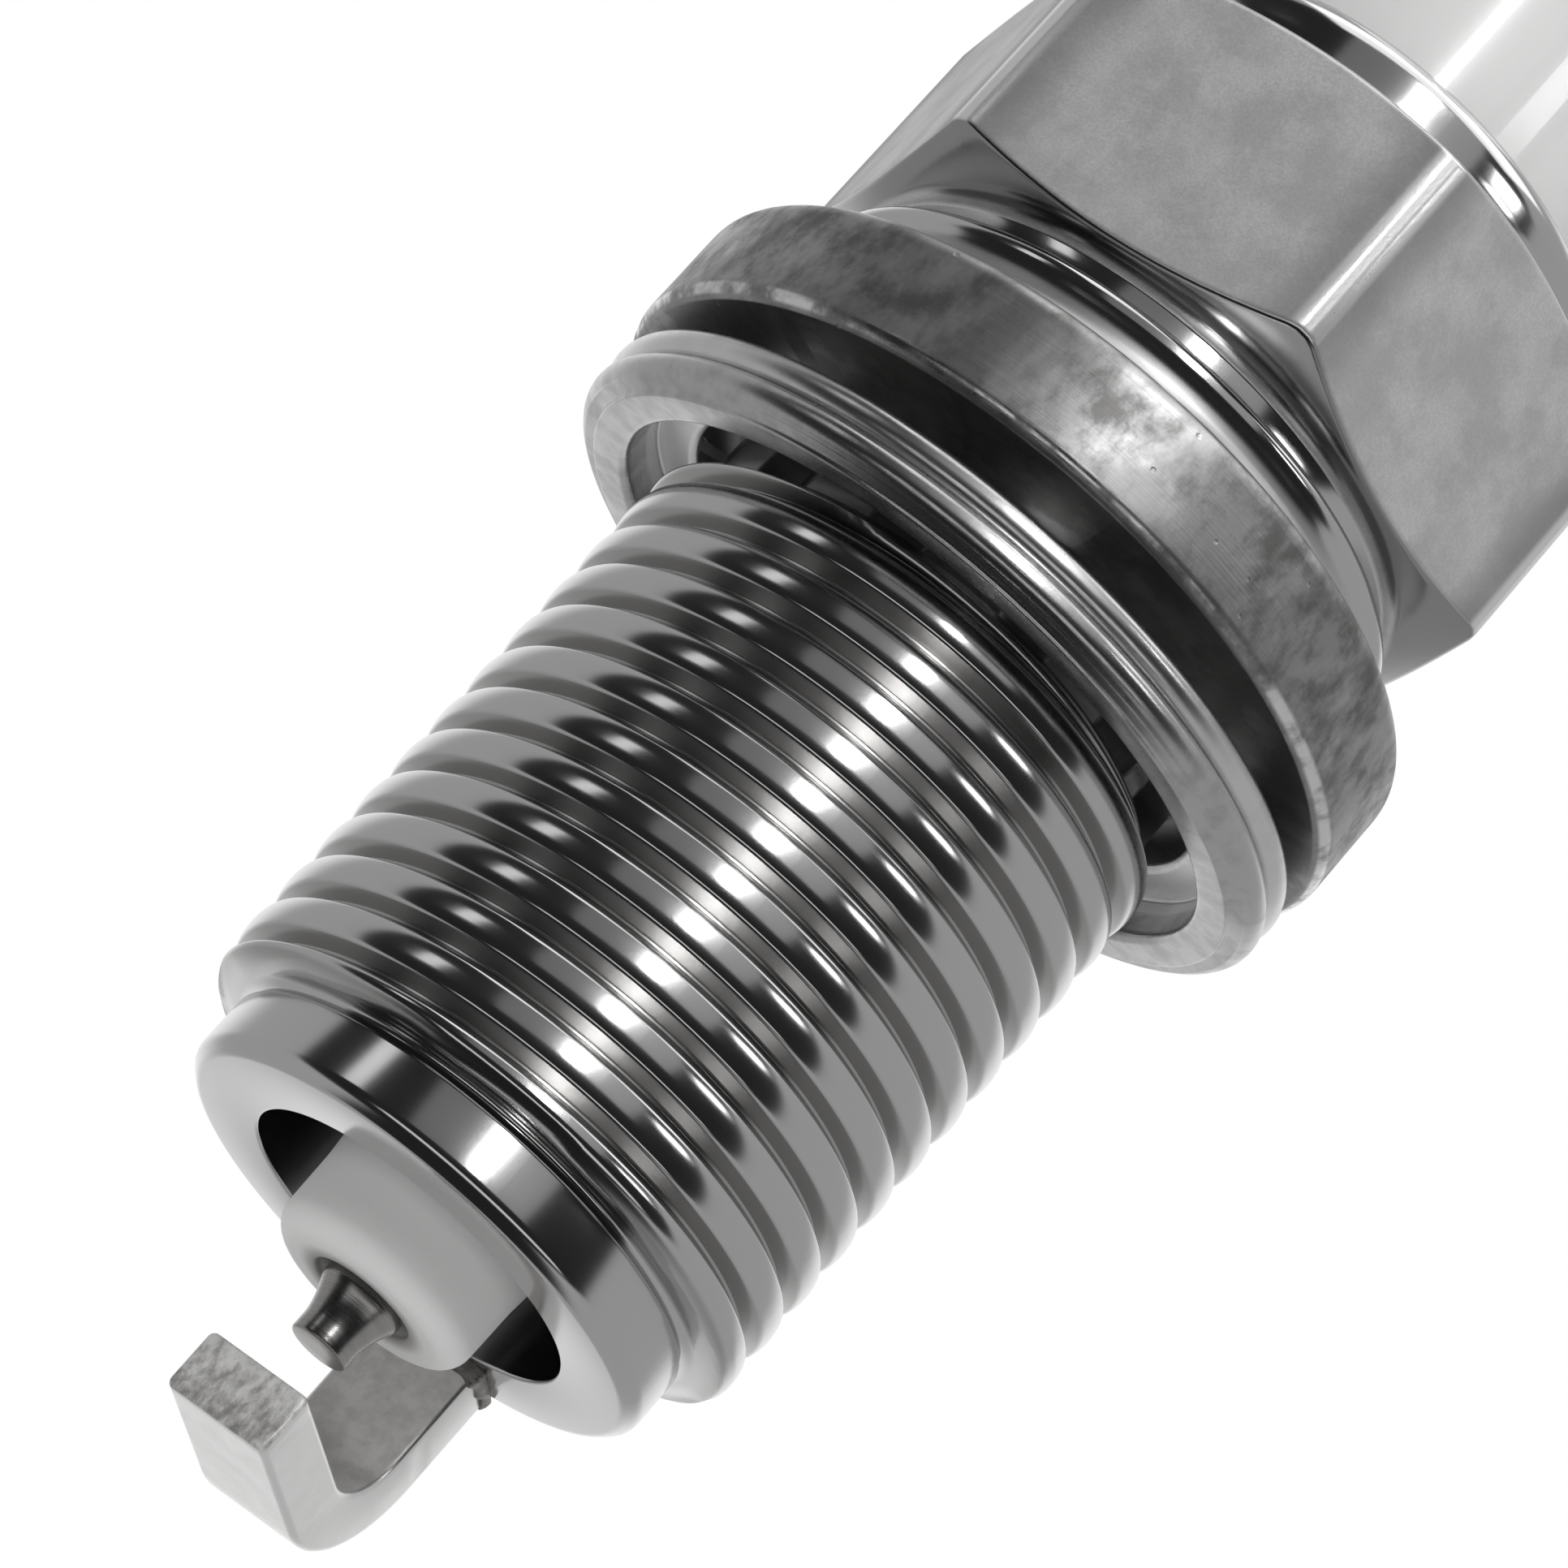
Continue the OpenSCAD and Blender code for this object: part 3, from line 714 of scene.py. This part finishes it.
# %% Zones of the plating
RIDGE_R, SHADE_R, COLLAR_TOP = 8.98, 8.45, SHOULDER_Z + SHOULDER
plate = Finish("nickel_plated_steel")
spot = plate.place()
height = plate.part(spot, 2)
radius = plate.from_axis(spot)
cone = (radius - HEX_FOOT_R) * (HEX_CUT / (HEX_CORNER_R - HEX_FOOT_R))
hexagon = plate.step(height - cone - HEX_Z, 0.03, 0.08)
hexagon = hexagon * plate.step(HEX_TOP - height - cone, 0.03, 0.08)
# Painted highlight: the hexagon's corners are painted near white, as the line of light they catch.
ridge_highlight = plate.step(radius, RIDGE_R, RIDGE_R + 0.1) * hexagon
collar = plate.step(height, -0.3, 0.05) * plate.step(height, COLLAR_TOP + 0.3, COLLAR_TOP - 0.3)
bright = plate.step(height, -0.1, -0.6)
# Painted shade: the thread's grooves are painted darker than its crests.
thread_groove_shade = plate.step(radius, THREAD_R - 0.05, THREAD_R - 0.14) * bright
thread_groove_shade = thread_groove_shade * plate.step(height, THREAD_END + 0.02, THREAD_END + 0.12)
print("collar from 0 to", COLLAR_TOP, "and ridges beyond", RIDGE_R)

# %% Patterns on the plating
grain = plate.clouds(spot, 15.0, 2.0)
drift = plate.clouds(spot, 0.6, 5.0, 0.6)
blotch = plate.clouds(spot, 0.75, 6.0, 0.68, stretch=(1.0, 1.0, 0.85))
stain = plate.step(blotch, 0.38, 0.62) * collar
pale = plate.step(plate.clouds(spot, 0.75, 4.0, 0.6, stretch=(1, 1, 0.5)), 0.44, 0.66) * collar
drag = plate.clouds(spot, 2.2, 3.0, 0.7, stretch=(0.25, 0.25, 9.0))
dings = plate.node("ShaderNodeTexVoronoi", {}, {"Vector": spot, "Scale": 1.15, "Randomness": 1.0})
ding = plate.step(dings, 0.09, 0.03) * collar
fillet = plate.step(height, COLLAR_TOP - 0.05, COLLAR_TOP + 0.1)
fillet = fillet * plate.step(height, BEAD_Z - 0.25, BEAD_Z - BEAD - 0.1)
# Painted highlight: a broken light line along the collar's lower edge.
rim_highlight = plate.step(height, 0.04, 0.12) * plate.step(height, COLLAR_EDGE + 0.12, COLLAR_EDGE)
rim_highlight = rim_highlight * plate.step(drift, 0.4, 0.56)
corner_shade = plate.step(radius, SHADE_R, SHADE_R + 0.5) * hexagon
# Painted shade: the chamfer under the hexagon is painted dark.
chamfer_shade = plate.step(height, HEX_Z - 0.08, HEX_Z) * plate.step(height, HEX_Z + 0.95, HEX_Z + 0.85)
chamfer_shade = chamfer_shade * (1 - hexagon)
print("nodes so far", len(plate.tree.nodes))

# %% Colour of the plating
tone = plate.blend(collar, grey(0.62), grey(0.4))
tone = plate.blend(thread_groove_shade, tone, grey(0.46, 0.01))
tone = plate.blend(chamfer_shade * 0.85, tone, grey(0.32))
tone = plate.blend(stain * 0.8, tone, grey(0.15, 0.02))
tone = plate.blend(pale * 0.45, tone, grey(0.68))
tone = plate.blend(rim_highlight * 0.9, tone, grey(0.9))
tone = plate.blend(fillet, tone, grey(0.62))
cast_face = plate.blend(plate.step(grain, 0.32, 0.68), grey(0.65), grey(0.74))
cast_face = plate.blend(plate.step(drift, 0.35, 0.65) * 0.45, cast_face, grey(0.4))
cast_face = plate.blend(corner_shade * 0.6, cast_face, grey(0.26))
tone = plate.blend(hexagon, tone, cast_face)
tone = plate.blend(ridge_highlight * 0.8, tone, grey(0.88))
print("nodes so far", len(plate.tree.nodes))

# %% Roughness and relief of the plating
dullness = 0.14 + 0.04 * blotch * bright + hexagon * (0.3 + 0.12 * grain) - ridge_highlight * 0.2
dullness = dullness + collar * (0.18 + 0.14 * drag) + stain * 0.1 - rim_highlight * 0.2
dullness = dullness + thread_groove_shade * 0.07 + fillet * 0.3
relief = hexagon * (grain * 0.4 + drift * 1.2) + collar * (drag * 0.6 + blotch)
relief = relief - ding * 1.5 + 0.05 * drag
shell_skin.data.materials.append(
    plate.surface(
        base_color=tone, metallic=1 - 0.3 * hexagon, roughness=dullness,
        normal=plate.bump(relief, 0.006),
    )
)

# %% [markdown]
# ### Gasket steel
#
# The gasket's strip is plain plated steel with fine lines round it from the folding rolls.
# Its lower roll is painted lighter, a painted highlight. The ring is tipped, so the mask for
# that roll measures along the ring's own axis and not along Z.

# %% Gasket steel
fold = Finish("folded_gasket_steel")
spot = fold.place()
haze = fold.clouds(spot, 1.3, 3.0, 0.6)
lines = fold.clouds(spot, 3.0, 2.0, 0.6, stretch=(0.2, 0.2, 6.0))
below = fold.along(spot, tip.col[2][:3])
# Painted highlight: the lower roll is painted lighter.
lower_roll_highlight = fold.step(below, LOWER_ROLL_Z + 0.335, LOWER_ROLL_Z + 0.125)
lower_roll_highlight = lower_roll_highlight * fold.step(below, LOWER_ROLL_Z - 0.385, LOWER_ROLL_Z - 0.265)
tone = fold.blend(fold.step(haze, 0.4, 0.7) * 0.6, grey(0.58), grey(0.4))
tone = fold.blend(lower_roll_highlight * 0.7, tone, grey(0.85))
gasket_ring.data.materials.append(
    fold.surface(
        base_color=tone, metallic=1.0, roughness=0.2 + 0.14 * haze + 0.02 * lower_roll_highlight,
        normal=fold.bump(lines * 0.5 + haze, 0.006),
    )
)

# %% [markdown]
# ### Electrodes, weld and ceramic
#
# The strap and the centre electrode are a duller, slightly warm nickel alloy with a fine
# drawn grain. The strap's sides carry a painted highlight, its outer faces and underside are
# made lighter and shinier, its inner faces are dull, and its sheared end is torn into light
# and dark chips. The weld was molten, so it is dark and lumpy. The ceramic is matt white at
# the nose, with a painted shadow round the electrode, and a clear glaze covers it above the
# shell, which the coat sockets give.

# %% Strap nickel
drawn = Finish("drawn_strap_nickel")
spot = drawn.place()
wisps = drawn.clouds(spot, 1.6, 4.0, 0.65)
draws = drawn.clouds(spot, 2.4, 2.0, 0.6, stretch=(6.0, 0.6, 0.6))
sheared = drawn.step(drawn.part(spot, 1), free_end + 0.16, free_end + 0.04)
torn = drawn.clouds(spot, 2.4, 5.0, 0.65, stretch=(1.5, 1.0, 0.8))
across = drawn.node("ShaderNodeMath", {"operation": "ABSOLUTE"}, {0: drawn.part(spot, 0)})
# Painted highlight on the strap's sides; its outer faces and underside are made lighter too.
side = drawn.step(across, strap_half - 0.145, strap_half - 0.045)
outer = drawn.step(drawn.part(spot, 1), strap_high.y - 0.425, strap_high.y - 0.075)
under = drawn.step(drawn.part(spot, 2), strap_low.z + 0.3, strap_low.z + 0.08)
edge_highlight_and_bright_faces = drawn.node("ShaderNodeClamp", {}, {0: side + outer + under}) * (1 - sheared)
tone = drawn.blend(drawn.step(wisps, 0.35, 0.7), grey(0.8, 0.02), grey(0.62, 0.04))
tone = drawn.blend(edge_highlight_and_bright_faces * 0.9, tone, grey(0.95, 0.005))
# The sheared end gets more light chips towards its top, so it is painted lighter there.
upper_half = drawn.step(drawn.part(spot, 2), strap_low.z + 0.5, strap_low.z + 1.3)
chips = drawn.step(torn + 0.14 * upper_half, 0.34, 0.76)
tone = drawn.blend(sheared, tone, drawn.blend(chips, grey(0.3, 0.02), grey(0.85, 0.01)))
strap.data.materials.append(
    drawn.surface(
        base_color=tone, metallic=0.3 + 0.7 * edge_highlight_and_bright_faces, roughness=0.34 + 0.12 * wisps - 0.1 * edge_highlight_and_bright_faces,
        normal=drawn.bump(draws * 0.4 + sheared * torn * 3.0, 0.012),
    )
)

# %% Electrode nickel
turned_tip = Finish("turned_electrode_nickel")
spot = turned_tip.place()
rings = turned_tip.clouds(spot, 4.0, 2.0, 0.5, stretch=(0.15, 0.15, 4.0))
tone = turned_tip.blend(rings, grey(0.46, 0.01), grey(0.34, 0.03))
electrode.data.materials.append(
    turned_tip.surface(
        base_color=tone, metallic=1.0, roughness=0.22 + 0.1 * rings,
        normal=turned_tip.bump(rings, 0.004),
    )
)

# %% Weld metal
molten = Finish("burnt_weld_metal")
spot = molten.place()
crust = molten.clouds(spot, 3.5, 4.0, 0.65)
tone = molten.blend(crust, grey(0.14, 0.08), grey(0.5, 0.03))
flash.data.materials.append(
    molten.surface(
        base_color=tone, metallic=1.0, roughness=0.25 + 0.3 * crust, normal=molten.bump(crust, 0.07)
    )
)

# %% Ceramic
GLAZE_FOOT, SHADOW_RING_R = 12.0, 1.75
glazed = Finish("glazed_alumina")
spot = glazed.place()
height = glazed.part(spot, 2)
above = glazed.step(height, GLAZE_FOOT, GLAZE_FOOT + 0.6)
speck = glazed.clouds(spot, 5.0, 3.0, 0.6)
cast = glazed.clouds(spot, 0.4, 2.0, 0.5)
tone = glazed.blend(glazed.step(speck, 0.62, 0.8) * 0.35, grey(0.8, 0.004), grey(0.7, 0.02))
tone = glazed.blend(above * 0.8, tone, grey(0.84, 0.004))
# Painted shadow: a dark ring on the ceramic's tip round the electrode.
electrode_shadow = glazed.step(glazed.from_axis(spot), SHADOW_RING_R, SHADOW_RING_R - 0.5)
electrode_shadow = electrode_shadow * glazed.step(height, tip_z + 0.2, tip_z + 0.05)
tone = glazed.blend(electrode_shadow * 0.75, tone, grey(0.2, 0.03))
ceramic.data.materials.append(
    glazed.surface(
        base_color=tone, roughness=0.52 - 0.34 * above + 0.08 * cast, coat_weight=above,
        coat_roughness=0.06, normal=glazed.bump(speck * 0.5 + cast, 0.004), ior=1.6,
    )
)

# %% [markdown]
# ### Terminal and hidden parts
#
# The nut and stud are bright plated steel. Inside the plug sit the packing, the powder, the
# glass seals, the resistor and the copper core. They are never seen whole, but each still
# gets the finish of its own stuff, so the model is right wherever it is cut open. They keep
# the shapes that the CAD gave them.

# %% Terminal steel
terminal_metals = [(nut, "bright_nut_nickel", 0.66, 0.14), (stud, "plated_stud_steel", 0.56, 0.22)]
for piece, name, level, dullness in terminal_metals:
    metal = Finish(name)
    spot = metal.place()
    film = metal.clouds(spot, 1.1, 3.0, 0.6)
    spin = metal.clouds(spot, 3.5, 2.0, 0.5, stretch=(0.1, 0.1, 5.0))
    tone = metal.blend(film, grey(level), grey(level * 0.84))
    piece.data.materials.append(
        metal.surface(
            base_color=tone, metallic=1.0, roughness=dullness + 0.1 * film,
            normal=metal.bump(spin, 0.004),
        )
    )


# %% Hidden stuffs
def inner_finish(name, low, high, scale, roughness, metallic):
    """A plain worked or fused stuff with two tones and a little relief."""
    stuff = Finish(name)
    spot = stuff.place()
    grains = stuff.clouds(spot, scale, 4.0, 0.6)
    return stuff.surface(
        base_color=stuff.blend(grains, low, high), metallic=metallic,
        roughness=roughness + 0.15 * grains, normal=stuff.bump(grains, 0.01),
    )


inner = {
    "packing_washer_steel": (grey(0.4), grey(0.56), 2.0, 0.3, 1.0),
    "pressed_talc": (grey(0.68, 0.03), grey(0.82, 0.02), 4.0, 0.75, 0.0),
    "drawn_copper": ((0.6, 0.28, 0.17, 1), (0.78, 0.42, 0.28, 1), 2.5, 0.25, 1.0),
    "fused_seal_glass": ((0.05, 0.04, 0.04, 1), (0.16, 0.11, 0.09, 1), 3.0, 0.3, 0.0),
    "fused_resistor_glass": (grey(0.03), grey(0.08), 5.0, 0.45, 0.0),
}
stuffs = {name: inner_finish(name, *values) for name, values in inner.items()}

# %% Hidden parts
inner_nodes = {
    "seat_packing": "packing_washer_steel", "lower_packing_ring": "packing_washer_steel",
    "upper_packing_ring": "packing_washer_steel", "talc_packing": "pressed_talc",
    "centre_electrode_core": "drawn_copper", "lower_glass_seal": "fused_seal_glass",
    "upper_glass_seal": "fused_seal_glass", "resistor": "fused_resistor_glass",
}
for node, name in inner_nodes.items():
    mesh = frame["nodes"][node].data
    mesh.materials.clear()
    mesh.materials.append(stuffs[name])
print("inner parts finished", len(inner_nodes))

# %% [markdown]
# ## Stage, light and camera
#
# Polished metal shows its surroundings, so the studio matters as much as the steel. The
# plug hangs in a pale room: a light wall behind it, dimmer sides, and darkness round the
# camera, with a tall softbox above the camera that draws the bright line down the thread.
# The camera is close and looks up at the plug from below, rolled so that the plug leans.

# %% Camera
LENS, SENSOR = 160.7, 36.0
camera_data = bpy.data.cameras.new("camera")
camera = bpy.data.objects.new("camera", camera_data)
bpy.context.collection.objects.link(camera)
bpy.context.scene.camera = camera
CAMERA_PLACE = Vector((55.30, -130.29, -57.67))
CAMERA_AHEAD = Vector((-0.37012, 0.86272, 0.34457)).normalized()
CAMERA_ROLL = math.radians(41.63)
camera_data.lens, camera_data.sensor_width = LENS, SENSOR
camera_data.clip_start, camera_data.clip_end = 10 * MM, 10000 * MM
level = CAMERA_AHEAD.cross(Vector((0, 0, 1))).normalized()
upward = level.cross(CAMERA_AHEAD)
right = math.cos(CAMERA_ROLL) * level + math.sin(CAMERA_ROLL) * upward
up = CAMERA_AHEAD.cross(right) * -1
axes = Matrix((right, up, -CAMERA_AHEAD)).transposed()
camera.matrix_world = Matrix.Translation(CAMERA_PLACE * MM) @ axes.to_4x4()
print("camera", [round(c, 1) for c in CAMERA_PLACE], "lens", camera_data.lens)

# %% Directions round the plug
CAMERA_SIDE = math.atan2(-CAMERA_AHEAD.y, -CAMERA_AHEAD.x)


def toward(side, elevation):
    """Unit vector, with the side angle counted from the camera to its right, in degrees."""
    turn, rise = CAMERA_SIDE + math.radians(side), math.radians(elevation)
    return Vector((math.cos(turn) * math.cos(rise), math.sin(turn) * math.cos(rise), math.sin(rise)))


print("camera side", round(math.degrees(CAMERA_SIDE), 1), "degrees")


# %% Lamps
def softbox(name, side, elevation, wide, tall, radiance, distance=500.0):
    """An area lamp that fills a patch of the sky, given as angles in degrees."""
    lamp = bpy.data.lights.new(name, "AREA")
    lamp.shape = "RECTANGLE"
    lamp.size = 2 * distance * MM * math.tan(math.radians(wide / 2))
    lamp.size_y = 2 * distance * MM * math.tan(math.radians(tall / 2))
    lamp.energy = radiance * math.pi * lamp.size * lamp.size_y
    holder = bpy.data.objects.new(name, lamp)
    bpy.context.collection.objects.link(holder)
    ahead = toward(side, elevation)
    holder.location = ahead * distance * MM
    holder.rotation_euler = ahead.to_track_quat("Z", "Y").to_euler()
    print(name, "power", round(lamp.energy, 3))


softbox("key_strip", 0, 33, 5.5, 50, 15.0)
softbox("key_left", -15, 32, 36, 54, 0.18, 520.0)
softbox("key_right", 15, 32, 26, 54, 0.35, 520.0)
softbox("left_strip", -61, 15, 9, 20, 1.0)
softbox("right_bar", 47, 33, 13, 7, 5.0)
softbox("low_card", 4, -42, 84, 14, 0.9)
softbox("top_fill", 0, 80, 60, 36, 1.3)

# %% [markdown]
# ### The room
#
# The room is only a colour for each direction, so it is a World and needs no walls. The
# cosine between a ray and a chosen direction tells how far off that direction the ray goes,
# and soft steps on that cosine make the dark side, the grey walls and the white patch. What
# the camera sees directly is plain white, whatever the metal mirrors.

# %% Room
DARK_GLOW, WALL_GLOW, PATCH_GLOW = 0.02, 0.42, 0.98
DARK_SIDE = -10.5
world = bpy.data.worlds.new("pale_room")
bpy.context.scene.world = world
room = Finish("pale_room", world)
gaze = room.node("ShaderNodeTexCoord", output="Generated")
to_dark, downward = room.along(gaze, toward(DARK_SIDE, 0)), room.along(gaze, (0, 0, -1))
walls = room.step(to_dark, 0.25, 0.17) * room.step(downward, 0.9, 0.8)
backlight = room.step(room.along(gaze, CAMERA_AHEAD), 0.62, 0.95)
glow = DARK_GLOW + WALL_GLOW * walls * (1 - backlight) + PATCH_GLOW * backlight
rays = "ShaderNodeLightPath"
shown = room.node(rays, output="Is Camera Ray") + room.node(rays, output="Is Transmission Ray")
strength = room.node("ShaderNodeClamp", {}, {0: shown})
light_level = glow * (1 - strength) + strength
backdrop = room.node("ShaderNodeBackground", {}, {"Color": grey(1), "Strength": light_level})
room.node("ShaderNodeOutputWorld", {}, {"Surface": backdrop})
print("room nodes", len(room.tree.nodes))

# %% [markdown]
# ### The floor
#
# The plug hangs over a sheet of pale paper that glows to white in the distance, so no line
# shows where it ends. A shadow catcher would do it too, but plain paper looks the same from
# every side. Mirrored in the metal it would hide the room, so it is left out of reflections.

# %% Floor
FLOOR_Z, FLOOR_HALF, FADE_START, FADE_END = -62.0, 900, 140, 420
floor_sides = ((-1, -1), (1, -1), (1, 1), (-1, 1))
floor_points = [(x * FLOOR_HALF, y * FLOOR_HALF, FLOOR_Z) for x, y in floor_sides]
floor = finish_mesh("pale_floor", floor_points, [(0, 1, 2, 3)], weighted=False)
floor.visible_glossy = False
paper = Finish("pale_floor_paper")
spot = paper.place()
away = paper.node("ShaderNodeVectorMath", {"operation": "LENGTH"}, {0: spot}, output=1)
far = paper.step(away, FADE_START, FADE_END)
paper_camera = paper.node(rays, output="Is Camera Ray")
fibre = paper.clouds(spot, 0.05, 2.0)
plain = paper.node("ShaderNodeBsdfDiffuse", {}, {"Color": paper.blend(fibre, grey(0.86), grey(0.88))})
white = paper.node("ShaderNodeEmission", {}, {"Color": grey(1), "Strength": 1.0})
glowing = (0.6 + 0.4 * far) * paper_camera
mixed = paper.node("ShaderNodeMixShader", {}, {0: glowing, 1: plain, 2: white})
paper.node("ShaderNodeOutputMaterial", {}, {"Surface": mixed})
floor.data.materials.append(paper.owner)

# %% View settings
bpy.context.scene.view_settings.view_transform = "Standard"
